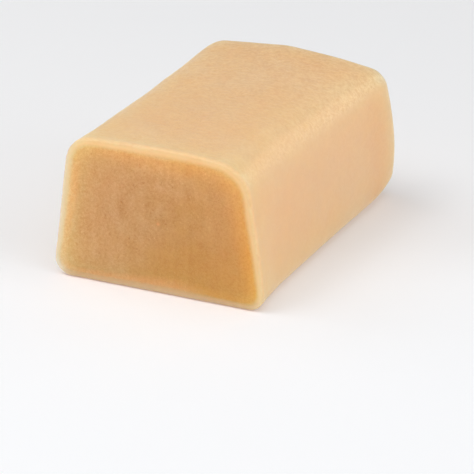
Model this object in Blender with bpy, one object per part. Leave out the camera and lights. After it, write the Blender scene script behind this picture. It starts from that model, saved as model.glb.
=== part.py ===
# A block of raw marzipan, cut across at one end, resting on its flat base.
#
# The block is a loaf that was pressed into a mould: its sections are rounded trapezoids, wider
# at the base than at the top, with a slightly domed top. They change from the cut end to the
# moulded end, where the top is more domed, the sides bulge and the right top edge is sharper.
#
# Frame: metres, +Z up. +Y runs along the block from the cut face (-Y) to the moulded end (+Y),
# X runs across it, and the origin is at the centre of the base.

import math

import bmesh
import bpy
import numpy as np

MM = 0.001

# Driving sizes, all in millimetres. A pair gives the value at the cut end and at the far end.
LENGTH = 132.2  # of the base, between the cut face and the start of the far rounding
HEIGHT = (61.8, 60.0)  # at the top's long edges
DOME = (1.8, 5.0)  # rise of the top's middle over its long edges
BASE_HALF_WIDTH = (44.6, 42.7)
TOP_HALF_WIDTH = (39.7, 43.1)
SIDE_BULGE = (0.3, 4.1)  # how far the side walls swell at half height
LEAN = (-0.7, 0.4)  # sideways shift of the top against the base
BASE_RADIUS = 7.1
TOP_LEFT_RADIUS = (10.4, 12.5)
TOP_RIGHT_RADIUS = (14.7, 6.0)
RIGHT_SHARPENING = 1.8  # power of the share: above 1, the right radius shrinks late
TOP_WAIST = 1.8  # narrowing of the top between the two ends
HEIGHT_CROWN = 0.5  # extra height between the two ends

# The knife pressed the soft block outwards near the cut.
CUT_FLARE = 3.0  # each side of the base
CUT_FLARE_LEFT = 1.0  # more of it, all the way up the left side
CUT_PINCH = 0.7  # each side of the top
CUT_FLARE_REACH = 14.0  # depth over which all three fade
CUT_YAW = 0.027  # the cut runs this much further back for each millimetre to the right
CUT_EDGE_RADIUS = 2.0

END_EDGE_RADIUS = 5.5
END_DRAFT = 0.165  # the far wall leans in by this much for each millimetre of height
END_BULGE = 1.4  # how far the middle of the far wall swells
END_BASE_ROUNDING = 5.0  # extra radius of the base's edges at the far end
END_BASE_REACH = 5.0  # depth over which it fades
SMALLEST_RADIUS = 1.2  # of a corner, however far its ring is moved in

# Shallow swells that handling leaves in the walls and the top: height, wave length along the
# block, wave length around it, and phase of each.
SWELLS = ((0.22, 74.0, 95.0, 0.6), (0.14, 43.0, 61.0, 2.1), (0.08, 27.0, 38.0, 4.0))
SWELL_FREE_BASE = 9.0  # no swell at the base, so that it stays flat

# A low lump on the top, at the edge of the far end: its place across and along, size and rise.
LUMP_AT = (-1.5, 128.0)
LUMP_SIZE = 7.0
LUMP_RISE = 0.9

# Mesh density: cells across, up and along the cube that the block is shaped from.
CELLS_ACROSS = 26
CELLS_UP = 18
CELLS_ALONG = 40
CUT_ARC_CELLS = 3
END_ARC_CELLS = 5
HALF_ARC_SHARE = 0.17  # share of a side of the square that maps onto half of a corner's arc
TINY = 1e-6

BLOCK_NAME = "marzipan_block"
MARZIPAN_COLOUR = (0.79, 0.51, 0.27, 1.0)
MARZIPAN_ROUGHNESS = 0.55


def clear_scene():
    for old in list(bpy.data.objects):
        bpy.data.objects.remove(old)


def between(pair, share):
    """Value that runs straight from the cut end (share 0) to the far end (share 1)."""
    return pair[0] * (1 - share) + pair[1] * share


def section_sizes(share):
    """Half widths, height and corner radii of the rounded trapezoid at a share of the length."""
    middle = 4 * share * (1 - share)
    near_cut = np.exp(-share * LENGTH / CUT_FLARE_REACH)
    near_end = np.exp((share - 1) * LENGTH / END_BASE_REACH)
    base_radius = BASE_RADIUS + END_BASE_ROUNDING * near_end
    return {
        "base": between(BASE_HALF_WIDTH, share) + CUT_FLARE * near_cut,
        "top": between(TOP_HALF_WIDTH, share) - TOP_WAIST * middle - CUT_PINCH * near_cut,
        "left": CUT_FLARE_LEFT * near_cut,
        "height": between(HEIGHT, share) + HEIGHT_CROWN * middle,
        "radii": (
            base_radius,
            base_radius,
            between(TOP_RIGHT_RADIUS, share**RIGHT_SHARPENING),
            between(TOP_LEFT_RADIUS, share),
        ),
    }


def trapezoid_corners(sizes, inset):
    """The four corners, anticlockwise from the left end of the base, moved in by the inset."""
    base, top = sizes["base"] - inset, sizes["top"] - inset
    left = sizes["left"]
    low, high = inset, sizes["height"] - inset
    left_base = np.stack((-base - left, low), -1)
    right_base = np.stack((base, low), -1)
    right_top = np.stack((top, high), -1)
    left_top = np.stack((-top - left, high), -1)
    return (left_base, right_base, right_top, left_top)


def unit(vectors):
    return vectors / np.linalg.norm(vectors, axis=-1, keepdims=True)


def half_arc(corner, before, after, radius, turn, from_before):
    """Point on a corner's arc, turn running from 0 at the arc's middle to 1 where it meets a
    straight side: the side that comes before the corner, or the one after it."""
    to_before, to_after = unit(before - corner), unit(after - corner)
    half_angle = np.arccos(np.clip(np.sum(to_before * to_after, -1), -1, 1)) / 2
    bisector = unit(to_before + to_after)
    centre = corner + bisector * (radius / np.sin(half_angle))[..., None]
    sideways = to_before if from_before else to_after
    across = unit(sideways - bisector * np.sum(sideways * bisector, -1)[..., None])
    angle = turn * (math.pi / 2 - half_angle)
    out = -bisector * np.cos(angle)[..., None] + across * np.sin(angle)[..., None]
    return centre + out * radius[..., None]


def section_point(side, along, sizes, inset):
    """Point of the section, x and z. A side of the square, 0 to 3 anticlockwise from the base,
    maps onto half an arc, a straight side and half an arc."""
    corners = trapezoid_corners(sizes, inset)
    start, end = corners[side], corners[(side + 1) % 4]
    before, after = corners[side - 1], corners[(side + 2) % 4]
    start_radius = np.maximum(sizes["radii"][side] - inset, SMALLEST_RADIUS)
    end_radius = np.maximum(sizes["radii"][(side + 1) % 4] - inset, SMALLEST_RADIUS)
    one = np.ones_like(along)
    straight_start = half_arc(start, before, end, start_radius, one, False)
    straight_end = half_arc(end, start, after, end_radius, one, True)
    share = np.clip((along - HALF_ARC_SHARE) / (1 - 2 * HALF_ARC_SHARE), 0, 1)[..., None]
    straight = straight_start * (1 - share) + straight_end * share
    start_turn = np.clip(along / HALF_ARC_SHARE, 0, 1)
    end_turn = np.clip((1 - along) / HALF_ARC_SHARE, 0, 1)
    start_arc = half_arc(start, before, end, start_radius, start_turn, False)
    end_arc = half_arc(end, start, after, end_radius, end_turn, True)
    in_start = (along < HALF_ARC_SHARE)[..., None]
    in_end = (along > 1 - HALF_ARC_SHARE)[..., None]
    return np.where(in_start, start_arc, np.where(in_end, end_arc, straight))


def ring_points(across, up, sizes, inset):
    """Points of the section for places on the outline of a square with sides at -1 and 1."""
    places = (
        (up <= -1, (across + 1) / 2),
        (across >= 1, (up + 1) / 2),
        (up >= 1, (1 - across) / 2),
        (across <= -1, (1 - up) / 2),
    )
    points = np.zeros(across.shape + (2,))
    for side, (here, along) in enumerate(places):
        points = np.where(here[..., None], section_point(side, along, sizes, inset), points)
    return points


def stations(cell):
    """Share of the length, inset and push beyond that station, for rings counted from the cut.
    The first and last rings run round a quarter circle: the edges of the cut and far faces."""
    wall_cells = CELLS_ALONG - CUT_ARC_CELLS - END_ARC_CELLS
    cut_angle = np.clip(cell / CUT_ARC_CELLS, 0, 1) * math.pi / 2
    end_angle = np.clip((cell - CELLS_ALONG + END_ARC_CELLS) / END_ARC_CELLS, 0, 1) * math.pi / 2
    wall = np.clip((cell - CUT_ARC_CELLS) / wall_cells, 0, 1)
    depth = CUT_EDGE_RADIUS * (1 - np.cos(cut_angle)) + wall * (LENGTH - CUT_EDGE_RADIUS)
    inset = CUT_EDGE_RADIUS * (1 - np.sin(cut_angle)) + END_EDGE_RADIUS * (1 - np.cos(end_angle))
    return depth / LENGTH, inset, END_EDGE_RADIUS * np.sin(end_angle)


def swell(depth, around, height):
    """Sum of shallow waves along and around the block, none at the base."""
    total = np.zeros_like(depth)
    for rise, wave_along, wave_around, phase in SWELLS:
        waves = np.sin(2 * math.pi * depth / wave_along + phase)
        waves = waves * np.cos(2 * math.pi * around / wave_around + 2 * phase)
        total = total + rise * waves
    return total * np.clip(height / SWELL_FREE_BASE, 0, 1) ** 2


def marzipan_form(cube):
    """Shapes points of a cube, with sides at -1 and 1, into the block, in millimetres."""
    across, along, up = cube[:, 0], cube[:, 1], cube[:, 2]
    reach = np.maximum(np.maximum(np.abs(across), np.abs(up)), TINY)
    on_square = np.round(across / reach, 6), np.round(up / reach, 6)
    share, inset, push = stations((along + 1) / 2 * CELLS_ALONG)
    sizes = section_sizes(share)
    ring = ring_points(*on_square, sizes, inset)

    # The ring's own height gives the dome, the bulge and the lean.
    level = np.clip(ring[:, 1] / sizes["height"], 0, 1)
    over_top = np.clip(ring[:, 0] / sizes["top"], -1, 1)
    dome = between(DOME, share) * (1 - over_top**2) * level**3
    bulge = between(SIDE_BULGE, share) * 4 * level * (1 - level) * np.sign(ring[:, 0])
    around = ring[:, 0] + np.sign(ring[:, 0]) * (sizes["height"] - ring[:, 1])
    outwards = swell(share * LENGTH, around, ring[:, 1])
    ring[:, 0] += bulge + between(LEAN, share) * level
    ring[:, 0] += outwards * np.sign(ring[:, 0]) * (1 - level)
    from_lump = np.hypot(over_top * sizes["top"] - LUMP_AT[0], share * LENGTH - LUMP_AT[1])
    lump = LUMP_RISE * np.exp(-((from_lump / LUMP_SIZE) ** 2)) * level**3
    ring[:, 1] += dome + lump + outwards * level

    # Inside a face, the points lie between the ring and the middle of the section.
    middle = np.stack((np.zeros_like(reach), sizes["height"] / 2), -1)
    flat = middle + (ring - middle) * reach[:, None]
    slant_at_cut = (1 - share) * CUT_YAW * flat[:, 0]
    slant_at_end = -share * END_DRAFT * flat[:, 1]
    end_swell = np.where(along > 1 - TINY, END_BULGE * (1 - reach**2), 0)
    depth = share * LENGTH + push + slant_at_cut + slant_at_end + end_swell
    return np.stack((flat[:, 0], depth, flat[:, 1]), -1)


def gridded_cube():
    """A cube from -1 to 1 whose faces are cut into a grid of cells."""
    shape = bmesh.new()
    bmesh.ops.create_cube(shape, size=2.0)
    for axis, cells in enumerate((CELLS_ACROSS, CELLS_ALONG, CELLS_UP)):
        crossing = [e for e in shape.edges if abs(e.verts[0].co[axis] - e.verts[1].co[axis]) > 1]
        bmesh.ops.subdivide_edges(shape, edges=crossing, cuts=cells - 1, use_grid_fill=True)
    return shape


def marzipan_material():
    material = bpy.data.materials.new("marzipan")
    material.use_nodes = True
    shader = material.node_tree.nodes["Principled BSDF"]
    shader.inputs["Base Color"].default_value = MARZIPAN_COLOUR
    shader.inputs["Roughness"].default_value = MARZIPAN_ROUGHNESS
    shader.inputs["Metallic"].default_value = 0.0
    return material


def marzipan_block(collection):
    shape = gridded_cube()
    cube = np.array([vertex.co[:] for vertex in shape.verts])
    points = marzipan_form(cube)
    middle = (points.min(0) + points.max(0)) / 2
    points = (points - (middle[0], middle[1], points[:, 2].min())) * MM
    for vertex, place in zip(shape.verts, points):
        vertex.co = place
    mesh = bpy.data.meshes.new(BLOCK_NAME)
    shape.to_mesh(mesh)
    shape.free()
    mesh.shade_smooth()
    mesh.materials.append(marzipan_material())
    block = bpy.data.objects.new(BLOCK_NAME, mesh)
    collection.objects.link(block)
    return block


def main():
    clear_scene()
    collection = bpy.data.collections.new("raw_marzipan")
    bpy.context.scene.collection.children.link(collection)
    marzipan_block(collection)


main()
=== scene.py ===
# %% [markdown]
# # A block of raw marzipan
#
# Raw marzipan is ground almonds and sugar, rolled to a stiff, slightly oily paste and pressed into
# a loaf-shaped block. Its skin is smooth with a fine orange peel, and where a knife has cut it the
# inside shows a dense, moist crumb with tiny almond specks. Light goes a few millimetres into the
# paste before it comes back out, so the edges glow and the shaded cut end turns a warm brown. The
# shader scatters light that way, and the colours add painted glow round the cut and painted shade
# on the cut end.
#
# The solid block comes from the CAD model and stays as it is. This script loads it as a fixed
# frame, makes the visible block over it as one surface worked out with numpy, gives it a finish
# from shader nodes, and sets the camera and the light.

# %% Load the CAD model as a fixed frame
import math

import bpy
import numpy as np
from mathutils import Matrix, Vector


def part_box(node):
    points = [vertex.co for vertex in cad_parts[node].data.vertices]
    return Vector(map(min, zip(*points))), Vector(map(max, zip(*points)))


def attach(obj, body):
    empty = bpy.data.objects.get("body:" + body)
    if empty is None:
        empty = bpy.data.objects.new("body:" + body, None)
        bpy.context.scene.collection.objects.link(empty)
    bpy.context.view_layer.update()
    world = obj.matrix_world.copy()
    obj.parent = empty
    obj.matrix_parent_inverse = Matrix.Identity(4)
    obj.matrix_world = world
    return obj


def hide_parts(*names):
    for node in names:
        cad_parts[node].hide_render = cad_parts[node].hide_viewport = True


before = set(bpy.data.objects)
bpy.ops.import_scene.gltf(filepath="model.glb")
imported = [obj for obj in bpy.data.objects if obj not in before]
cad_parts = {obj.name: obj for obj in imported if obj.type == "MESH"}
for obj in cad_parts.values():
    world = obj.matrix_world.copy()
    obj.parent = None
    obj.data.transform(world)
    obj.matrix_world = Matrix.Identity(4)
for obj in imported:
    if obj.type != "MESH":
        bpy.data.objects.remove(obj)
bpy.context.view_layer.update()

MM = 0.001
NODE = "marzipan_block"

# %% [markdown]
# ## The sections of the loaf
#
# Cut anywhere across its length, the block shows a trapezoid with rounded corners: the mould was
# wider at the base, and its top edges were rounded. The form could be a subdivided cage, but its
# corner radii change steadily from one end to the other, so each section is worked out instead:
# straight sides, and an arc at each corner. A pair gives a size at the cut end and at the far end,
# and what the knife did to the cut end dies away within a reach.

# %% Sizes of the sections, in millimetres
LENGTH = 132.2  # of the base, up to the rounding of the far end
HEIGHT = (61.8, 60.0)
BASE_HALF_WIDTH = (44.6, 42.7)
TOP_HALF_WIDTH = (39.7, 43.1)
BASE_RADIUS = 7.1
TOP_LEFT_RADIUS = (10.4, 12.5)
TOP_RIGHT_RADIUS = (14.7, 6.0)
RIGHT_SHARPENING = 1.8  # power of the share: the corner stays round until near the far end
SMALLEST_RADIUS = 1.2
TOP_WAIST = 1.8
HEIGHT_CROWN = 0.5
CUT_FLARE = 3.0
CUT_FLARE_LEFT = 1.0
CUT_PINCH = 0.7
CUT_FLARE_REACH = 14.0
END_BASE_ROUNDING = 5.0
END_BASE_REACH = 5.0


def between(pair, share):
    """Value that runs straight from the cut end (share 0) to the far end (share 1)."""
    return pair[0] * (1 - share) + pair[1] * share


def section_sizes(share):
    """Half widths, height and corner radii at a share of the length. The base flares and the top
    pinches by an exponential that dies away behind the cut, and the left side is a little wider
    by the same one. The waist and the crown are parabolas that vanish at both ends. The base
    corners grow rounder by an exponential of the distance to the far end, and the top right
    radius changes with a power of the share."""
    middle = 4 * share * (1 - share)
    near_cut = np.exp(-share * LENGTH / CUT_FLARE_REACH)
    near_end = np.exp((share - 1) * LENGTH / END_BASE_REACH)
    base_radius = BASE_RADIUS + END_BASE_ROUNDING * near_end
    return {
        "base": between(BASE_HALF_WIDTH, share) + CUT_FLARE * near_cut,
        "top": between(TOP_HALF_WIDTH, share) - TOP_WAIST * middle - CUT_PINCH * near_cut,
        "left": CUT_FLARE_LEFT * near_cut,
        "height": between(HEIGHT, share) + HEIGHT_CROWN * middle,
        "radii": (
            base_radius,
            base_radius,
            between(TOP_RIGHT_RADIUS, share**RIGHT_SHARPENING),
            between(TOP_LEFT_RADIUS, share),
        ),
    }


def trapezoid_corners(sizes, inset):
    """The four corners, anticlockwise from the left end of the base, moved in by the inset."""
    base, top, left = sizes["base"] - inset, sizes["top"] - inset, sizes["left"]
    low, high = inset, sizes["height"] - inset
    corners = ((-base - left, low), (base, low), (top, high), (-top - left, high))
    return [np.stack(corner, -1) for corner in corners]


middle_sizes = section_sizes(np.array(0.5))
print("half-way section, mm: base", round(2 * float(middle_sizes["base"]), 1))

# %% [markdown]
# ## Rounded corners
#
# Each side of a square is laid over half an arc, a straight side and half an arc of the section,
# so the whole outline of the square wraps round the whole outline of the section once. The share
# of the square's side that goes to a half arc is fixed, which keeps the mesh lines from one end
# of the block to the other running along the same corner, whatever its radius.

# %% Points of a section
HALF_ARC_SHARE = 0.17


def unit(vectors):
    """Each vector over its own length."""
    return vectors / np.linalg.norm(vectors, axis=-1, keepdims=True)


def half_arc(corner, before, after, radius, turn, from_before):
    """Point on a corner's arc. The centre lies on the bisector at radius / sin(half the angle);
    turn runs from 0 at the arc's middle to 1 where it meets the side before or after it."""
    to_before, to_after = unit(before - corner), unit(after - corner)
    half_angle = np.arccos(np.clip(np.sum(to_before * to_after, -1), -1, 1)) / 2
    bisector = unit(to_before + to_after)
    centre = corner + bisector * (radius / np.sin(half_angle))[..., None]
    sideways = to_before if from_before else to_after
    across = unit(sideways - bisector * np.sum(sideways * bisector, -1)[..., None])
    angle = turn * (math.pi / 2 - half_angle)
    out = across * np.sin(angle)[..., None] - bisector * np.cos(angle)[..., None]
    return centre + out * radius[..., None]


def side_points(side, along, sizes, inset):
    """Points over one side of the square: half an arc, a straight line, half an arc."""
    corners = trapezoid_corners(sizes, inset)
    start, end = corners[side], corners[(side + 1) % 4]
    before, after = corners[side - 1], corners[(side + 2) % 4]
    start_radius = np.maximum(sizes["radii"][side] - inset, SMALLEST_RADIUS)
    end_radius = np.maximum(sizes["radii"][(side + 1) % 4] - inset, SMALLEST_RADIUS)
    start_turn = np.clip(along / HALF_ARC_SHARE, 0, 1)
    end_turn = np.clip((1 - along) / HALF_ARC_SHARE, 0, 1)
    start_arc = half_arc(start, before, end, start_radius, start_turn, False)
    end_arc = half_arc(end, start, after, end_radius, end_turn, True)
    share = np.clip((along - HALF_ARC_SHARE) / (1 - 2 * HALF_ARC_SHARE), 0, 1)[..., None]
    return start_arc * (1 - share) + end_arc * share


def section_points(across, up, sizes, inset):
    """Points of the section for places on the outline of a square with sides at -1 and 1."""
    sides = (
        (up <= -1, (across + 1) / 2),
        (across >= 1, (up + 1) / 2),
        (up >= 1, (1 - across) / 2),
        (across <= -1, (1 - up) / 2),
    )
    points = np.zeros(across.shape + (2,))
    for side, (here, along) in enumerate(sides):
        points[here] = side_points(
            side,
            along[here],
            {
                name: tuple(r[here] for r in size) if name == "radii" else size[here]
                for name, size in sizes.items()
            },
            inset[here],
        )
    return points


# %% [markdown]
# ## From sections to a block
#
# The sections are strung along the block like rings. The first few rings run round a small
# quarter circle, the edge that the knife left; the last few run round a larger one, the rounding
# of the far end. The top rises to a low dome, the side walls swell, and both ends are slanted:
# the cut ran slightly askew, and the far wall leans in as the mould's did.

# %% Sizes along the block, in millimetres, and the mesh's cells
CELLS_ACROSS = 130
CELLS_UP = 90
CELLS_ALONG = 164
CUT_ARC_CELLS = 5
END_ARC_CELLS = 9

DOME = (1.8, 5.0)
SIDE_BULGE = (0.3, 4.1)
LEAN = (-0.7, 0.4)
CUT_YAW = 0.027
CUT_EDGE_RADIUS = 2.0
END_EDGE_RADIUS = 5.5
END_DRAFT = 0.165
END_BULGE = 1.4
SWELLS = ((0.22, 74.0, 95.0, 0.6), (0.14, 43.0, 61.0, 2.1), (0.08, 27.0, 38.0, 4.0))
SWELL_FREE_BASE = 9.0
LUMP_AT = (-1.5, 128.0)
LUMP_SIZE = 7.0
LUMP_RISE = 0.9
TINY = 1e-6


def stations(cell):
    """Share of the length, inset and push beyond that station. Both ends follow a quarter circle:
    depth and inset are its radius times 1 - cos and 1 - sin of the angle."""
    wall_cells = CELLS_ALONG - CUT_ARC_CELLS - END_ARC_CELLS
    cut_angle = np.clip(cell / CUT_ARC_CELLS, 0, 1) * math.pi / 2
    end_angle = np.clip((cell - CELLS_ALONG + END_ARC_CELLS) / END_ARC_CELLS, 0, 1) * math.pi / 2
    wall = np.clip((cell - CUT_ARC_CELLS) / wall_cells, 0, 1)
    depth = CUT_EDGE_RADIUS * (1 - np.cos(cut_angle)) + wall * (LENGTH - CUT_EDGE_RADIUS)
    inset = CUT_EDGE_RADIUS * (1 - np.sin(cut_angle)) + END_EDGE_RADIUS * (1 - np.cos(end_angle))
    return depth / LENGTH, inset, END_EDGE_RADIUS * np.sin(end_angle)


def swell(depth, around, height):
    """Sum of shallow sine waves along and around the block, none at the base."""
    total = np.zeros_like(depth)
    for rise, wave_along, wave_around, phase in SWELLS:
        waves = np.sin(2 * math.pi * depth / wave_along + phase)
        waves = waves * np.cos(2 * math.pi * around / wave_around + 2 * phase)
        total = total + rise * waves
    return total * np.clip(height / SWELL_FREE_BASE, 0, 1) ** 2


def block_points(across, up, cell):
    """Places of the surface, for across and up from -1 to 1 and the ring's number. On a wall they
    are the ring's own points. Inside an end face they lie on the straight line from the middle of
    the section to the ring, at the reach max(|across|, |up|). The dome is a parabola across the
    top, the bulge one up each side wall, and the lump a low bell near the far end. The ends slant
    by a multiple of the place on them, and the far one swells by a parabola of the reach."""
    reach = np.maximum(np.maximum(np.abs(across), np.abs(up)), TINY)
    on_square = np.round(across / reach, 6), np.round(up / reach, 6)
    share, inset, push = stations(cell)
    sizes = section_sizes(share)
    ring = section_points(*on_square, sizes, inset)

    level = np.clip(ring[:, 1] / sizes["height"], 0, 1)
    over_top = np.clip(ring[:, 0] / sizes["top"], -1, 1)
    side = np.sign(ring[:, 0])
    dome = between(DOME, share) * (1 - over_top**2) * level**3
    bulge = between(SIDE_BULGE, share) * 4 * level * (1 - level)
    around = ring[:, 0] + side * (sizes["height"] - ring[:, 1])
    outwards = swell(share * LENGTH, around, ring[:, 1])
    ring[:, 0] += side * (bulge + outwards * (1 - level)) + between(LEAN, share) * level
    from_lump = np.hypot(over_top * sizes["top"] - LUMP_AT[0], share * LENGTH - LUMP_AT[1])
    lump = LUMP_RISE * np.exp(-((from_lump / LUMP_SIZE) ** 2)) * level**3
    ring[:, 1] += dome + lump + outwards * level

    middle = np.stack((np.zeros_like(reach), sizes["height"] / 2), -1)
    flat = middle + (ring - middle) * reach[:, None]
    slant = (1 - share) * CUT_YAW * flat[:, 0] - share * END_DRAFT * flat[:, 1]
    end_swell = np.where(cell >= CELLS_ALONG, END_BULGE * (1 - reach**2), 0)
    return np.stack((flat[:, 0], share * LENGTH + push + slant + end_swell, flat[:, 1]), -1)


# %% [markdown]
# ## One closed mesh
#
# The six faces of a cube are cut into cells, and each corner of a cell is known by three whole
# numbers. Corners that two faces share have the same numbers, so one call of numpy's unique
# joins the faces into a closed skin with no seam and no pole.

# %% Cells of the cube
def cube_cells():
    """Whole-number corners of the cells on a cube's six faces, and four corners for each cell,
    anticlockwise seen from outside."""
    cells = (CELLS_ACROSS, CELLS_ALONG, CELLS_UP)
    quads = []
    for axis in range(3):
        first, second = (axis + 1) % 3, (axis + 2) % 3
        grid = np.meshgrid(np.arange(cells[first]), np.arange(cells[second]), indexing="ij")
        for side in (0, 1):
            order = ((0, 0), (1, 0), (1, 1), (0, 1)) if side else ((0, 0), (0, 1), (1, 1), (1, 0))
            face = np.zeros(grid[0].shape + (4, 3), int)
            face[..., axis] = side * cells[axis]
            for corner, (step_first, step_second) in enumerate(order):
                face[..., corner, first] = grid[0] + step_first
                face[..., corner, second] = grid[1] + step_second
            quads.append(face.reshape(-1, 3))
    corners, index = np.unique(np.concatenate(quads), axis=0, return_inverse=True)
    return corners, index.reshape(-1, 4)


corners, quads = cube_cells()
places = block_points(
    2 * corners[:, 0] / CELLS_ACROSS - 1,
    2 * corners[:, 2] / CELLS_UP - 1,
    corners[:, 1].astype(float),
)
middle = (places.min(0) + places.max(0)) / 2
places = places - (middle[0], middle[1], places[:, 2].min())
print("smooth block:", len(places), "points,", len(quads), "cells")
print("its box, mm:", np.ptp(places, axis=0).round(2))

# %% [markdown]
# ## Random fields
#
# Dents, grain and crumb are uneven, so they come from random numbers. A lattice of cubes is laid
# through space, each of its corners gets a random value, and a point takes the eight values round
# it, blended smoothly. Because the field fills space, it meets itself over every edge of the
# block, which a flat pattern would not.

# %% Smooth noise in space
TABLE_SIZE = 8192
LATTICE_STEPS = (73856093, 19349663, 83492791)


def field(where, size, seed):
    """Smooth random field, about -1 to 1: values at the corners of cubes of the given size,
    blended by the smooth step 3t^2 - 2t^3 along each axis."""
    table = np.random.default_rng(seed).uniform(-1, 1, TABLE_SIZE)
    scaled = where / np.asarray(size, float)
    low = np.floor(scaled).astype(np.int64)
    part = scaled - low
    part = part * part * (3 - 2 * part)
    total = np.zeros(len(where))
    for corner in np.ndindex(2, 2, 2):
        index = (low + corner) * LATTICE_STEPS
        value = table[(index[:, 0] ^ index[:, 1] ^ index[:, 2]) % TABLE_SIZE]
        total += value * np.prod(np.where(corner, part, 1 - part), axis=1)
    return total


# %% [markdown]
# ## What each place of the surface is
#
# Relief and finish both need to know what a place is. A mask could be painted by hand, but here
# numbers between 0 and 1 on the mesh's points say so, worked out from the place and the direction
# it faces, so they follow the form exactly. On the cut face, "cut" is 1 all over, "core" is 1
# beyond its bright border, and "shaded" is 1 on the side away from the light. "rim" is the thin
# edge round the cut.

# %% Directions of the surface
def normals(points, cells):
    """Outward directions: the cross product of each cell's diagonals, summed over the cells
    that meet at a point."""
    diagonals = points[cells[:, 2]] - points[cells[:, 0]], points[cells[:, 3]] - points[cells[:, 1]]
    area = np.repeat(np.cross(*diagonals), 4, axis=0)
    total = [np.bincount(cells.ravel(), area[:, axis], len(points)) for axis in range(3)]
    return unit(np.stack(total, -1))


def smooth_step(value, low, high):
    """0 up to low, 1 from high on, and 3t^2 - 2t^3 of the way between them."""
    share = np.clip((value - low) / (high - low), 0, 1)
    return share * share * (3 - 2 * share)


outwards = normals(places, quads)
print("points that face up:", int((outwards[:, 2] > 0.9).sum()))

# %% Shares of the cut face and of the rim round it
CUT_FADE = 2.3
CORE_START = 1.0
GLOW_REACH = (9.5, 3.5)  # of the bright border: its middle, and what the lit side adds to it
GLOW_TOWARDS = (0.7, 0.7)
SHADED_TURN = (0.0, 0.6)
RIM_REACH = (3.0, 0.4)
SMALLEST_REACH = 0.1


def inside_cut():
    """Millimetres from the rim inwards on the cut face, 0 elsewhere. A cell at the reach r lies
    at r of the way from the middle to the rim, so the rim is 1/r - 1 times as far away as the
    middle is."""
    reach = np.abs(2 * corners[:, (0, 2)] / (CELLS_ACROSS, CELLS_UP) - 1).max(1)
    from_middle = np.hypot(places[:, 0], places[:, 2] - HEIGHT[0] / 2)
    return (corners[:, 1] == 0) * from_middle * (1 / np.maximum(reach, SMALLEST_REACH) - 1)


from_rim = inside_cut()
around = unit(places[:, (0, 2)] - (0, HEIGHT[0] / 2))
towards_light = around @ np.array(GLOW_TOWARDS)
behind_cut = places[:, 1] - CUT_YAW * places[:, 0]
behind_cut = behind_cut - behind_cut.min()

cut_share = smooth_step(from_rim, 0, CUT_FADE)
core_share = smooth_step(from_rim, CORE_START, GLOW_REACH[0] + GLOW_REACH[1] * towards_light)
shaded_share = smooth_step(-towards_light, *SHADED_TURN)
rim_share = smooth_step(behind_cut, *RIM_REACH) * (1 - cut_share)
print("cut face:", int((cut_share > 0).sum()), "points; rim:", int((rim_share > 0.5).sum()))

# %% [markdown]
# ## Top, rounded edges and painted glow
#
# A face points along one axis and an edge between two, so the largest part of the direction tells
# an edge from a face. The rounded edges get a painted highlight, a paler band that sits a little
# below the middle of the rounding; the edges of the far end are left out of it. The paste is
# painted warmer just behind the rim, on the left of the rim and towards the far end: a painted
# glow for the light that comes through the block from behind.

# %% Shares of the top, of the edges and of the painted glow
TOP_TURN = (0.25, 0.7)
EDGE_TURN = (0.03, 0.21)
EDGE_LOWER = 1.15  # makes the upward part count for more
END_TURN = (0.1, 0.4)
END_SPARED = 0.85
LIP_REACH = (9.0, 3.0)
LIP_SHARE = 0.6
LEFT_TURN = (0.5, 0.85)
END_REACH = (30.0, 51.0)
RIDGE_SPARED = 0.7

top_share = smooth_step(outwards[:, 2], *TOP_TURN)
steepest = np.abs(outwards * (1, 1, EDGE_LOWER)).max(1)
edge_share = smooth_step(1 - steepest, *EDGE_TURN)
edge_share *= 1 - END_SPARED * smooth_step(outwards[:, 1], *END_TURN)

lip = smooth_step(behind_cut, *LIP_REACH) * (1 - rim_share) * (1 - cut_share) * (1 - top_share)
left_rim = smooth_step(-around[:, 0], *LEFT_TURN) * rim_share
near_end = smooth_step(places[:, 1], *END_REACH) * (1 - RIDGE_SPARED * edge_share)
# Painted glow: where the skin is tinted warmer, for light that comes through the block from behind.
painted_glow_share = np.maximum(LIP_SHARE * lip, np.maximum(left_rim, near_end))
print("edges:", int((edge_share > 0.5).sum()), "points; warm:", int((painted_glow_share > 0.5).sum()))

# %% [markdown]
# ## Relief
#
# The skin was pressed and handled: it has shallow dents a few centimetres wide and a fine orange
# peel. The knife tore the crumb a little, so the cut end is uneven at the size of the ground
# almond, and its edge is nicked. Both could be a displacement in the shader, but that would be
# lost to the exported mesh, so the points themselves move along the surface's own direction. The
# base stays flat where the block rests.

# %% Push the surface in and out
SKIN_WAVES = ((21.0, 0.16, 1), (8.5, 0.07, 2), (3.4, 0.035, 3), (1.9, 0.03, 4))
CUT_WAVES = ((17.0, 0.10, 5), (5.0, 0.07, 6), (2.2, 0.07, 7), (1.4, 0.07, 8))
NICK_SIZE = 2.6
NICK_DEPTH = 0.35
NICK_FROM = 0.1
NICK_SEED = 9
RELIEF_SINK = 0.12
RELIEF_FREE_BASE = 2.5


def waves(where, settings):
    """Sum of random fields, each given by its size, its rise in millimetres and its seed."""
    return sum(rise * field(where, size, seed) for size, rise, seed in settings)


nicks = NICK_DEPTH * np.clip(field(places, NICK_SIZE, NICK_SEED) - NICK_FROM, 0, 1) * rim_share
relief = waves(places, SKIN_WAVES) * (1 - cut_share) + waves(places, CUT_WAVES) * cut_share
relief = (relief - nicks - RELIEF_SINK) * smooth_step(places[:, 2], 0, RELIEF_FREE_BASE)
shaped = places + outwards * relief[:, None]
low, high = (np.array(corner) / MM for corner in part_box(NODE))
shaped = np.clip(shaped, low, high)
print("relief, mm:", relief.min().round(3), "to", relief.max().round(3))
print("gap to the CAD box, mm:", (shaped.min(0) - low).round(2), (high - shaped.max(0)).round(2))

# %% [markdown]
# ## The visible block
#
# The arrays go into one mesh in a single call, and the shares go with them as point attributes,
# which the material can read by name. The piece then takes the place of the plain solid.

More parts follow.
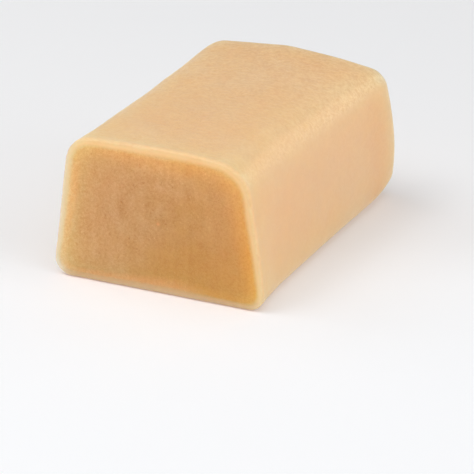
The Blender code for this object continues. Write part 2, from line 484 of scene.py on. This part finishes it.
# %% Put the surface into a mesh
def closed_mesh(name, points, cells, shares):
    """Mesh from arrays of points, in metres, and cells, with one float per point for each share."""
    mesh = bpy.data.meshes.new(name)
    mesh.from_pydata(points, [], cells.tolist())
    for label, values in shares.items():
        layer = mesh.attributes.new(label, "FLOAT", "POINT")
        layer.data.foreach_set("value", values.astype(np.float32))
    mesh.shade_smooth()
    made = bpy.data.objects.new(name, mesh)
    bpy.context.scene.collection.objects.link(made)
    return made


shares = {
    "cut": cut_share,
    "core": core_share,
    "shaded": shaded_share,
    "rim": rim_share,
    "painted_glow": painted_glow_share,
    "top": top_share,
    "edge": edge_share,
}
block = closed_mesh("marzipan_loaf", shaped * MM, quads, shares)
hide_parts(NODE)
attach(block, "root")
print("visible block:", 2 * len(block.data.polygons), "triangles")

# %% [markdown]
# ## Finish of the paste
#
# A coat of colour alone would look like painted plaster, because marzipan is a scattering solid:
# light goes in, wanders for a few millimetres and comes out again. The Principled shader's
# subsurface part works that out, which gives the glowing edges, and painted glow and painted shade
# in the colours add to it. Its colour, gloss and bump come from two chains of nodes, one for the
# skin and one for the inside, and the share "cut" blends them. Small helpers add the nodes, so that
# each chain reads like a recipe.

# %% Helpers for values and colours: each adds a shader node and returns what it puts out
NOISE_RANGE = (0.3, 0.7)  # most of a noise's values lie here


def plug(tree, socket, value):
    """Links a socket to another, or sets it to a plain value."""
    if isinstance(value, bpy.types.NodeSocket):
        tree.links.new(value, socket)
    else:
        socket.default_value = value


def calculate(tree, operation, first, second=0.0):
    """One sum, product or other operation on two values."""
    node = tree.nodes.new("ShaderNodeMath")
    node.operation = operation
    plug(tree, node.inputs[0], first)
    plug(tree, node.inputs[1], second)
    return node.outputs[0]


def rescale(tree, value, low, high, new_low=0.0, new_high=1.0, smooth=True):
    """Value moved from one range to another, by the smooth step or on a straight line."""
    node = tree.nodes.new("ShaderNodeMapRange")
    node.interpolation_type = "SMOOTHSTEP" if smooth else "LINEAR"
    for index, given in enumerate((value, low, high, new_low, new_high)):
        plug(tree, node.inputs[index], given)
    return node.outputs[0]


def blend_colours(tree, share, first, second, how="MIX"):
    """First colour, and the second one laid over it by the share."""
    node = tree.nodes.new("ShaderNodeMix")
    node.data_type = "RGBA"
    node.blend_type = how
    plug(tree, node.inputs["Factor"], share)
    plug(tree, node.inputs[6], first)
    plug(tree, node.inputs[7], second)
    return node.outputs[2]


def blend_values(tree, share, first, second):
    """First value where the share is 0, second where it is 1."""
    node = tree.nodes.new("ShaderNodeMix")
    plug(tree, node.inputs["Factor"], share)
    plug(tree, node.inputs[2], first)
    plug(tree, node.inputs[3], second)
    return node.outputs[0]


def add_up(tree, *parts):
    """Sum of the values, each over its own middle and times its strength."""
    total = 0.0
    for value, middle, strength in parts:
        part = calculate(tree, "MULTIPLY", calculate(tree, "SUBTRACT", value, middle), strength)
        total = calculate(tree, "ADD", total, part)
    return total


def shaded(tree, colour, tone, shades):
    """Colour times a factor that runs from the dark to the light shade as the tone goes from -1
    to 1. The factors differ between red, green and blue: light crumbs are whiter, dark ones
    warmer, as the eye sees them on real paste."""
    factor = blend_colours(tree, rescale(tree, tone, -1, 1, smooth=False), *shades)
    return blend_colours(tree, 1.0, colour, factor, "MULTIPLY")


# %% Helpers for places and patterns
def share_of(tree, name):
    """A share that the mesh carries on its points."""
    node = tree.nodes.new("ShaderNodeAttribute")
    node.attribute_name = name
    return node.outputs["Fac"]


def position_parts(tree, where):
    """The three parts of a place, in millimetres."""
    split = tree.nodes.new("ShaderNodeSeparateXYZ")
    plug(tree, split.inputs[0], where)
    return [calculate(tree, "DIVIDE", split.outputs[axis], MM) for axis in range(3)]


def stretched(tree, where, scale):
    """Place times a scale along each axis: below 1, a pattern grows longer along it."""
    node = tree.nodes.new("ShaderNodeMapping")
    plug(tree, node.inputs["Vector"], where)
    node.inputs["Scale"].default_value = scale
    return node.outputs[0]


def noise(tree, where, size, detail=2.0):
    """Noise with blotches of about the given size in millimetres, from 0 to 1."""
    node = tree.nodes.new("ShaderNodeTexNoise")
    plug(tree, node.inputs["Vector"], where)
    node.inputs["Scale"].default_value = 1 / (size * MM)
    node.inputs["Detail"].default_value = detail
    return node.outputs["Fac"]


def speck_distance(tree, where, spacing):
    """Distance to the nearest of scattered points, and that point's random colour."""
    node = tree.nodes.new("ShaderNodeTexVoronoi")
    plug(tree, node.inputs["Vector"], where)
    node.inputs["Scale"].default_value = 1 / (spacing * MM)
    return node.outputs["Distance"], node.outputs["Color"]


def scattered(tree, where, spacing, width, share, scale=(1, 1, 1)):
    """Mask of soft dots of the given width, on a share of the points about a spacing apart."""
    gap, random = speck_distance(tree, stretched(tree, where, scale), spacing)
    dot = rescale(tree, gap, width / spacing, 0.4 * width / spacing)
    return calculate(tree, "MULTIPLY", dot, rescale(tree, random, 1 - share, 1.1 - share))


# %% The grain group, used for the skin and for the crumb
FINER = 2.4


def grain_group():
    """Group that turns a place into a fine height and a tone, both about 0 to 1. Two sizes of
    noise are mixed, the coarser one at its input size, the finer one at less than half of it."""
    tree = bpy.data.node_groups.new("paste grain", "ShaderNodeTree")
    face = tree.interface
    face.new_socket("Place", in_out="INPUT", socket_type="NodeSocketVector")
    face.new_socket("Scale", in_out="INPUT", socket_type="NodeSocketFloat")
    face.new_socket("Fineness", in_out="INPUT", socket_type="NodeSocketFloat")
    face.new_socket("Height", in_out="OUTPUT", socket_type="NodeSocketFloat")
    face.new_socket("Tone", in_out="OUTPUT", socket_type="NodeSocketFloat")
    start = tree.nodes.new("NodeGroupInput")
    end = tree.nodes.new("NodeGroupOutput")
    layers = []
    for times in (1.0, FINER):
        node = tree.nodes.new("ShaderNodeTexNoise")
        plug(tree, node.inputs["Vector"], start.outputs["Place"])
        plug(tree, node.inputs["Scale"], calculate(tree, "MULTIPLY", start.outputs["Scale"], times))
        node.inputs["Detail"].default_value = 2.0
        layers.append(node.outputs["Fac"])
    height = blend_values(tree, start.outputs["Fineness"], *layers)
    plug(tree, end.inputs["Height"], height)
    plug(tree, end.inputs["Tone"], rescale(tree, height, *NOISE_RANGE))
    return tree


def grain(tree, group, where, size, fineness):
    """Height and tone of the grain at a size in millimetres."""
    node = tree.nodes.new("ShaderNodeGroup")
    node.node_tree = group
    plug(tree, node.inputs["Place"], where)
    node.inputs["Scale"].default_value = 1 / (size * MM)
    node.inputs["Fineness"].default_value = fineness
    return node.outputs["Height"], node.outputs["Tone"]


paste_grain = grain_group()
print("grain group:", len(paste_grain.nodes), "nodes")

# %% [markdown]
# ## The skin
#
# The skin drifts between two tones over centimetres and is mottled and peppered by its grain. The
# grain shows most on the top and the rounded edges, grows towards the far end and nearly vanishes
# on the smooth side walls. The flat top is tinted a little cooler than the walls: painted light.
# The rounded edges are painted paler, a painted highlight where they catch the light, and the thin
# rim round the cut is painted a strong amber, a painted glow.

# %% Colour, height and gloss of the skin
SKIN_COLOUR = (0.82, 0.53, 0.283, 1)
SKIN_WARM = (0.83, 0.52, 0.263, 1)
# Painted highlight: the next colour is laid over the rounded edges where they catch the light.
SKIN_HIGHLIGHT = (0.94, 0.65, 0.38, 1)
SKIN_SHADES = ((0.928, 0.865, 0.83, 1), (1.072, 1.135, 1.17, 1))
# Painted glow: the strong amber of the thin rim round the cut.
PAINTED_RIM_GLOW = (1.0, 0.515, 0.243, 1)
# Painted light: the flat top's colour is multiplied by this cooler tint.
TOP_LIGHT_TINT = (0.972, 1.016, 1.048, 1)
# Painted glow: the warmer tint laid behind the rim, on its left and towards the far end.
PAINTED_GLOW_TINT = (1.0, 0.92, 0.87, 1)
DRIFT_SIZE = 30.0
DRIFT_RANGE = (0.35, 0.65)
MOTTLE_SIZE = 7.0
MOTTLE_STRENGTH = 0.8
SKIN_GRAIN = (1.9, 0.5)  # size in millimetres and fineness
SKIN_STRETCH = (0.7, 1.0, 1.0)
GRAIN_CHANGE = (-50.0, 50.0)  # places along the block, and the grain's strength at them
GRAIN_SHARES = (0.7, 1.75)
HIGHLIGHT_SHARES = (0.39, 0.51)
WALL_GRAIN = 0.25
WALL_BUMP = 0.4
SKIN_GLOSS = (0.42, 0.52)


def skin_finish(tree, where, region):
    """Colour, bump height and roughness of the skin."""
    height, tone = grain(tree, paste_grain, stretched(tree, where, SKIN_STRETCH), *SKIN_GRAIN)
    mottle = noise(tree, where, MOTTLE_SIZE)
    grainy = calculate(tree, "MAXIMUM", region["top"], region["edge"])
    grainy = rescale(tree, grainy, 0, 1, WALL_GRAIN, 1)

    drift = rescale(tree, noise(tree, where, DRIFT_SIZE), *DRIFT_RANGE)
    colour = blend_colours(tree, drift, SKIN_COLOUR, SKIN_WARM)
    # Painted light: the flat top, away from the edges, is tinted a little cooler than the walls.
    off_edge = calculate(tree, "SUBTRACT", 1.0, region["edge"])
    lit_flat_top = calculate(tree, "MULTIPLY", region["top"], off_edge)
    colour = blend_colours(tree, lit_flat_top, colour, TOP_LIGHT_TINT, "MULTIPLY")
    # Painted highlight: the rounded edges are lightened towards a paler colour, a little more where
    # the grain is light.
    painted_highlight = calculate(tree, "MULTIPLY", region["edge"], rescale(tree, tone, 0, 1, *HIGHLIGHT_SHARES))
    colour = blend_colours(tree, painted_highlight, colour, SKIN_HIGHLIGHT)
    # Painted glow: the thin rim round the cut is painted a strong amber.
    colour = blend_colours(tree, region["rim"], colour, PAINTED_RIM_GLOW)
    # Painted glow: the skin is tinted warmer behind the rim, on its left and towards the far end.
    colour = blend_colours(tree, region["painted_glow"], colour, PAINTED_GLOW_TINT, "MULTIPLY")

    along = position_parts(tree, where)[1]
    strength = rescale(tree, along, *GRAIN_CHANGE, *GRAIN_SHARES)
    strength = calculate(tree, "MULTIPLY", grainy, strength)
    pepper = add_up(tree, (tone, 0.5, strength), (mottle, 0.5, MOTTLE_STRENGTH))
    colour = shaded(tree, colour, pepper, SKIN_SHADES)

    bumps = rescale(tree, grainy, WALL_GRAIN, 1, WALL_BUMP, 1)
    height = calculate(tree, "MULTIPLY", height, bumps)
    return colour, height, rescale(tree, mottle, *NOISE_RANGE, *SKIN_GLOSS)


# %% [markdown]
# ## Marks on the cut face
#
# Pressing rolled the paste up, and the cut shows it as faint ovals round a middle. The knife left
# a darker streak on the left, and at the right a little almond oil has soaked out. All three are
# drawn from distances on the face, which keeps them soft and free of any picture.

# %% Rings, a streak and a spot
RING_MIDDLE = (1.5, 37.0)
RING_HEIGHT_SCALE = 1.2
RING_SPACING = 10.5
RING_WANDER = 4.0
RING_WANDER_SIZE = 16.0
RING_END = (34.0, 22.0)
KNIFE_STREAK = (-16.5, 33.75, 3.0, 9.0)  # middle, then half width and half height
OILY_SPOT = (19.0, 25.25, 4.5, 2.8)


def oval_distance(tree, where, middle, half_width, half_height):
    """Distance from a middle on the cut face, 1 on the oval with the given half sizes."""
    x, _, z = position_parts(tree, where)
    x = calculate(tree, "DIVIDE", calculate(tree, "SUBTRACT", x, middle[0]), half_width)
    z = calculate(tree, "DIVIDE", calculate(tree, "SUBTRACT", z, middle[1]), half_height)
    squares = [calculate(tree, "MULTIPLY", part, part) for part in (x, z)]
    return calculate(tree, "SQRT", calculate(tree, "ADD", *squares))


def oval_rings(tree, where):
    """Faint ovals round the middle of the section, -1 to 1: the sine of the distance from the
    middle, which a broad noise makes wander, dying away towards the rim."""
    away = oval_distance(tree, where, RING_MIDDLE, 1, 1 / RING_HEIGHT_SCALE)
    wander = noise(tree, where, RING_WANDER_SIZE, detail=3.0)
    turn = add_up(tree, (away, 0, 1), (wander, 0, RING_WANDER))
    turn = calculate(tree, "MULTIPLY", turn, 2 * math.pi / RING_SPACING)
    fade = rescale(tree, away, *RING_END)
    return calculate(tree, "MULTIPLY", calculate(tree, "SINE", turn), fade)


def smudge(tree, where, x, z, half_width, half_height):
    """Soft oval patch, 1 in its middle and 0 from its outline on."""
    return rescale(tree, oval_distance(tree, where, (x, z), half_width, half_height), 1, 0)


# %% [markdown]
# ## The inside
#
# Inside, the paste is moister. Its colours are painted a good deal darker and deeper than the
# skin's, painted shade for the half shade that the cut end stands in, and brownest at the lower
# right. The border of the cut is painted brighter, a painted glow for the light that gets in from
# two sides there. On this ground lie the crumb, pale almond specks, a few pores, small pits painted
# darker as painted shade, and faint drag lines from the knife. Each could have its own colour, but
# on real paste they all vary one tone, so they are added up and turn into a shade at the end.

# %% Colour and height of the inside
# Painted shade: the cut end's colours are darker and deeper than the skin's, as it stands in half
# shade.
CUT_SHADE_COLOUR = (0.735, 0.43, 0.18, 1)
CUT_SHADE_DEEP = (0.70, 0.365, 0.095, 1)
# Painted glow: the brighter border of the cut, redder on the side away from the light.
CUT_BORDER_GLOW = (0.82, 0.435, 0.165, 1)
CUT_BORDER_GLOW_DEEP = (0.80, 0.375, 0.085, 1)
CUT_BORDER_GLOW_SHADED = (0.97, 0.435, 0.167, 1)
CUT_SHADES = ((0.836, 0.65, 0.39, 1), (1.164, 1.35, 1.61, 1))
DEEP_ACROSS = 0.8
DEEP_DOWN = 0.7
DEEP_FROM = (-42.0, 15.0)
DEEP_DRIFT = (-12.0, 12.0)
DEEP_DRIFT_SIZE = 22.0
CRUMB_GRAIN = (1.1, 0.5)  # size in millimetres and fineness
DRAG_SIZE = 3.0
DRAG_STRETCH = (1.0, 1.0, 0.12)
SPECKS = (1.6, 0.45, 0.5)  # spacing and width in millimetres, and the share that shows
PORES = (2.6, 0.6, 0.4, (1, 1, 0.8))
CRUMB_SHARES = (0.95, 0.6)
DRAG_TONE = 0.8
RING_TONE = 0.12
SPECK_TONE = 0.5
# Painted shade: the pores are small pits, and this darkens them.
PORE_SHADE = -0.4
STREAK_TONE = -0.5
SPOT_TONE = -0.5
SPECK_RISE = 0.25
PORE_RISE = -0.4


def deep_share(tree, where):
    """How much of the deep colour: it grows to the right and down over the cut face."""
    x, _, z = position_parts(tree, where)
    drift = rescale(tree, noise(tree, where, DEEP_DRIFT_SIZE), *NOISE_RANGE, *DEEP_DRIFT)
    across = add_up(tree, (x, 0, DEEP_ACROSS), (z, 0, -DEEP_DOWN), (drift, 0, 1))
    return rescale(tree, across, *DEEP_FROM)


def inside_finish(tree, where, region):
    """Colour and bump height of the inside."""
    height, tone = grain(tree, paste_grain, where, *CRUMB_GRAIN)
    drag = noise(tree, stretched(tree, where, DRAG_STRETCH), DRAG_SIZE)
    specks = scattered(tree, where, *SPECKS)
    pores = scattered(tree, where, *PORES)

    deep = deep_share(tree, where)
    # Painted glow: the border of the cut is brighter, and redder on the side away from the light.
    painted_border_glow = blend_colours(tree, deep, CUT_BORDER_GLOW, CUT_BORDER_GLOW_DEEP)
    painted_border_glow = blend_colours(tree, region["shaded"], painted_border_glow, CUT_BORDER_GLOW_SHADED)
    # Painted shade: the inner colour of the cut face, darker and deeper than the skin.
    middle = blend_colours(tree, deep, CUT_SHADE_COLOUR, CUT_SHADE_DEEP)
    colour = blend_colours(tree, region["core"], painted_border_glow, middle)
    crumb = add_up(
        tree,
        (tone, 0.5, 1.0),
        (drag, 0.5, DRAG_TONE),
        (oval_rings(tree, where), 0, RING_TONE),
        (specks, 0, SPECK_TONE),
        (pores, 0, PORE_SHADE),
        (smudge(tree, where, *KNIFE_STREAK), 0, STREAK_TONE),
        (smudge(tree, where, *OILY_SPOT), 0, SPOT_TONE),
    )
    crumb = calculate(tree, "MULTIPLY", crumb, rescale(tree, deep, 0, 1, *CRUMB_SHARES))
    rises = add_up(tree, (height, 0, 1), (specks, 0, SPECK_RISE), (pores, 0, PORE_RISE))
    return shaded(tree, colour, crumb, CUT_SHADES), rises


# %% The marzipan's own material
CUT_ROUGHNESS = 0.6
BUMP_DEPTH = 0.45 * MM
SCATTER_RADIUS = (0.85, 0.85, 0.75)
SCATTER_DEPTH = 50 * MM
REFRACTION = 1.45


def marzipan_finish():
    """The two finishes, blended by the share of the cut, on a shader that light goes into."""
    material = bpy.data.materials.new("marzipan paste")
    material.use_nodes = True
    tree = material.node_tree
    shader = tree.nodes["Principled BSDF"]
    where = tree.nodes.new("ShaderNodeTexCoord").outputs["Object"]
    region = {name: share_of(tree, name) for name in shares}
    skin_colour, skin_height, skin_gloss = skin_finish(tree, where, region)
    inside_colour, inside_height = inside_finish(tree, where, region)

    cut = region["cut"]
    plug(tree, shader.inputs["Base Color"], blend_colours(tree, cut, skin_colour, inside_colour))
    plug(tree, shader.inputs["Roughness"], blend_values(tree, cut, skin_gloss, CUT_ROUGHNESS))
    bump = tree.nodes.new("ShaderNodeBump")
    bump.inputs["Strength"].default_value = 1.0
    bump.inputs["Distance"].default_value = BUMP_DEPTH
    plug(tree, bump.inputs["Height"], blend_values(tree, cut, skin_height, inside_height))
    plug(tree, shader.inputs["Normal"], bump.outputs["Normal"])

    shader.inputs["Subsurface Weight"].default_value = 1.0
    shader.inputs["Subsurface Radius"].default_value = SCATTER_RADIUS
    shader.inputs["Subsurface Scale"].default_value = SCATTER_DEPTH
    shader.inputs["IOR"].default_value = REFRACTION
    return material


block.data.materials.append(marzipan_finish())
print("material:", len(block.data.materials[0].node_tree.nodes), "nodes")

# %% [markdown]
# ## Camera
#
# The block is seen from a little above and from the right of its cut end. The picture is nearly
# free of perspective, so the camera stands well back with a long lens. Its angles, its distance
# and its aim are named, and the position follows from them, which is easier to adjust than three
# bare numbers for the place.

# %% Camera at the viewing angle
AZIMUTH = math.radians(25.886)
ELEVATION = math.radians(24.073)
ROLL = math.radians(0.189)
DISTANCE = 1653.9 * MM
AIM = Vector((0.18, -1.16, 30.9)) * MM
AIM_RIGHT = 2.58 * MM
AIM_UP = -29.44 * MM
SENSOR = 36.0
LENS = 301.7
FARTHEST = 20


def camera_axes():
    """Right, up and backward directions of a camera turned by the azimuth and raised."""
    right = Vector((math.cos(AZIMUTH), math.sin(AZIMUTH), 0))
    back = Vector((
        math.sin(AZIMUTH) * math.cos(ELEVATION),
        -math.cos(AZIMUTH) * math.cos(ELEVATION),
        math.sin(ELEVATION),
    ))
    return right, back.cross(right), back


right, up, back = camera_axes()
camera = bpy.data.objects.new("camera", bpy.data.cameras.new("camera"))
bpy.context.scene.collection.objects.link(camera)
turned = Matrix((right, up, back)).transposed() @ Matrix.Rotation(ROLL, 3, "Z")
stand = AIM + right * AIM_RIGHT + up * AIM_UP + back * DISTANCE
camera.matrix_world = Matrix.Translation(stand) @ turned.to_4x4()
camera.data.sensor_width = SENSOR
camera.data.lens = LENS
camera.data.clip_end = FARTHEST
bpy.context.scene.camera = camera
print("camera at, mm:", [round(c / MM) for c in stand])

# %% [markdown]
# ## Floor
#
# The block lies on a plain white sheet. Its colour is painted brighter towards the front, painted
# light, and a little emission makes it glow, painted light that keeps the shadows on it pale. One
# large level sheet is enough: its far edge is out of sight.

# %% A large pale sheet
FLOOR_HALF = 8.0
FLOOR_BACK = (0.684, 0.687, 0.70, 1)
# Painted light: the floor's colour towards the front, brighter than at the back.
FLOOR_FRONT_LIT = (0.75, 0.76, 0.78, 1)
FLOOR_FORWARD = (0.44, -0.90)  # direction in which it grows brighter
FLOOR_CHANGE = (-5.0, 60.0)  # millimetres in that direction
FLOOR_ROUGHNESS = 0.7
# Painted light: the floor's emission, which keeps its shadows pale.
FLOOR_PAINTED_GLOW = 0.21
WHITE = (1, 1, 1, 1)


def floor_finish():
    """Matt white, painted brighter in one direction, with an even painted glow."""
    material = bpy.data.materials.new("pale floor")
    material.use_nodes = True
    tree = material.node_tree
    shader = tree.nodes["Principled BSDF"]
    where = tree.nodes.new("ShaderNodeTexCoord").outputs["Object"]
    x, y, _ = position_parts(tree, where)
    along = add_up(tree, (x, 0, FLOOR_FORWARD[0]), (y, 0, FLOOR_FORWARD[1]))
    # Painted light: the colour grows brighter towards the front.
    lit_forward = rescale(tree, along, *FLOOR_CHANGE)
    plug(tree, shader.inputs["Base Color"], blend_colours(tree, lit_forward, FLOOR_BACK, FLOOR_FRONT_LIT))
    shader.inputs["Roughness"].default_value = FLOOR_ROUGHNESS
    shader.inputs["Emission Color"].default_value = WHITE
    shader.inputs["Emission Strength"].default_value = FLOOR_PAINTED_GLOW
    return material


def floor_sheet():
    """Level square at the height of the base: corner places are plus or minus half the side."""
    grid = np.array(((-1, -1), (1, -1), (1, 1), (-1, 1)), float) * FLOOR_HALF
    mesh = bpy.data.meshes.new("floor")
    mesh.from_pydata(np.column_stack((grid, np.zeros(4))), [], [(0, 1, 2, 3)])
    mesh.materials.append(floor_finish())
    made = bpy.data.objects.new("floor", mesh)
    bpy.context.scene.collection.objects.link(made)
    return made


floor_sheet()
print("floor:", 2 * FLOOR_HALF, "m square")

# %% [markdown]
# ## Light
#
# Large square lights stand all round, as softboxes do in a small product studio: the larger the
# light, the softer its shadow. The strongest hangs high on the left and lights the top. The one
# high on the right is nearly over the camera and lights the front, less, so that the cut end
# stays in half shade. Low ones on the right and on the left light the side walls and shape the
# shadows on the floor, one stands behind at the right, and the world's even light fills them in.

# %% Lights: bearing and height in degrees, width in metres, power in watts
LIGHT_DISTANCE = 1.6
LIGHTS = {
    "back right softbox": (45, 12, 0.9, 2.8),
    "low right softbox": (0, 12, 0.9, 2.9),
    "right softbox": (0, 35, 0.9, 2.8),
    "top right softbox": (0, 62, 0.9, 1.0),
    "left softbox": (180, 35, 0.9, 4.2),
    "high left softbox": (225, 62, 0.9, 9.9),
    "high right softbox": (315, 62, 0.9, 4.7),
}
WORLD_STRENGTH = 0.3


def direction(bearing, height):
    """Unit vector at a bearing, anticlockwise from +X, and a height over the floor, in radians."""
    level = math.cos(height)
    return Vector((math.cos(bearing) * level, math.sin(bearing) * level, math.sin(height)))


def softbox(name, bearing, height, width, power):
    """Square area light at a fixed distance, facing the middle of the block."""
    light = bpy.data.lights.new(name, "AREA")
    light.size = width
    light.energy = power
    made = bpy.data.objects.new(name, light)
    bpy.context.scene.collection.objects.link(made)
    made.visible_camera = False
    away = direction(math.radians(bearing), math.radians(height))
    facing = away.to_track_quat("Z", "Y").to_matrix().to_4x4()
    made.matrix_world = Matrix.Translation(AIM + away * LIGHT_DISTANCE) @ facing


for name, settings in LIGHTS.items():
    softbox(name, *settings)
world = bpy.data.worlds.new("studio")
world.use_nodes = True
world.node_tree.nodes["Background"].inputs["Color"].default_value = WHITE
world.node_tree.nodes["Background"].inputs["Strength"].default_value = WORLD_STRENGTH
bpy.context.scene.world = world
bpy.context.scene.view_settings.view_transform = "Standard"
print("lights:", ", ".join(LIGHTS))
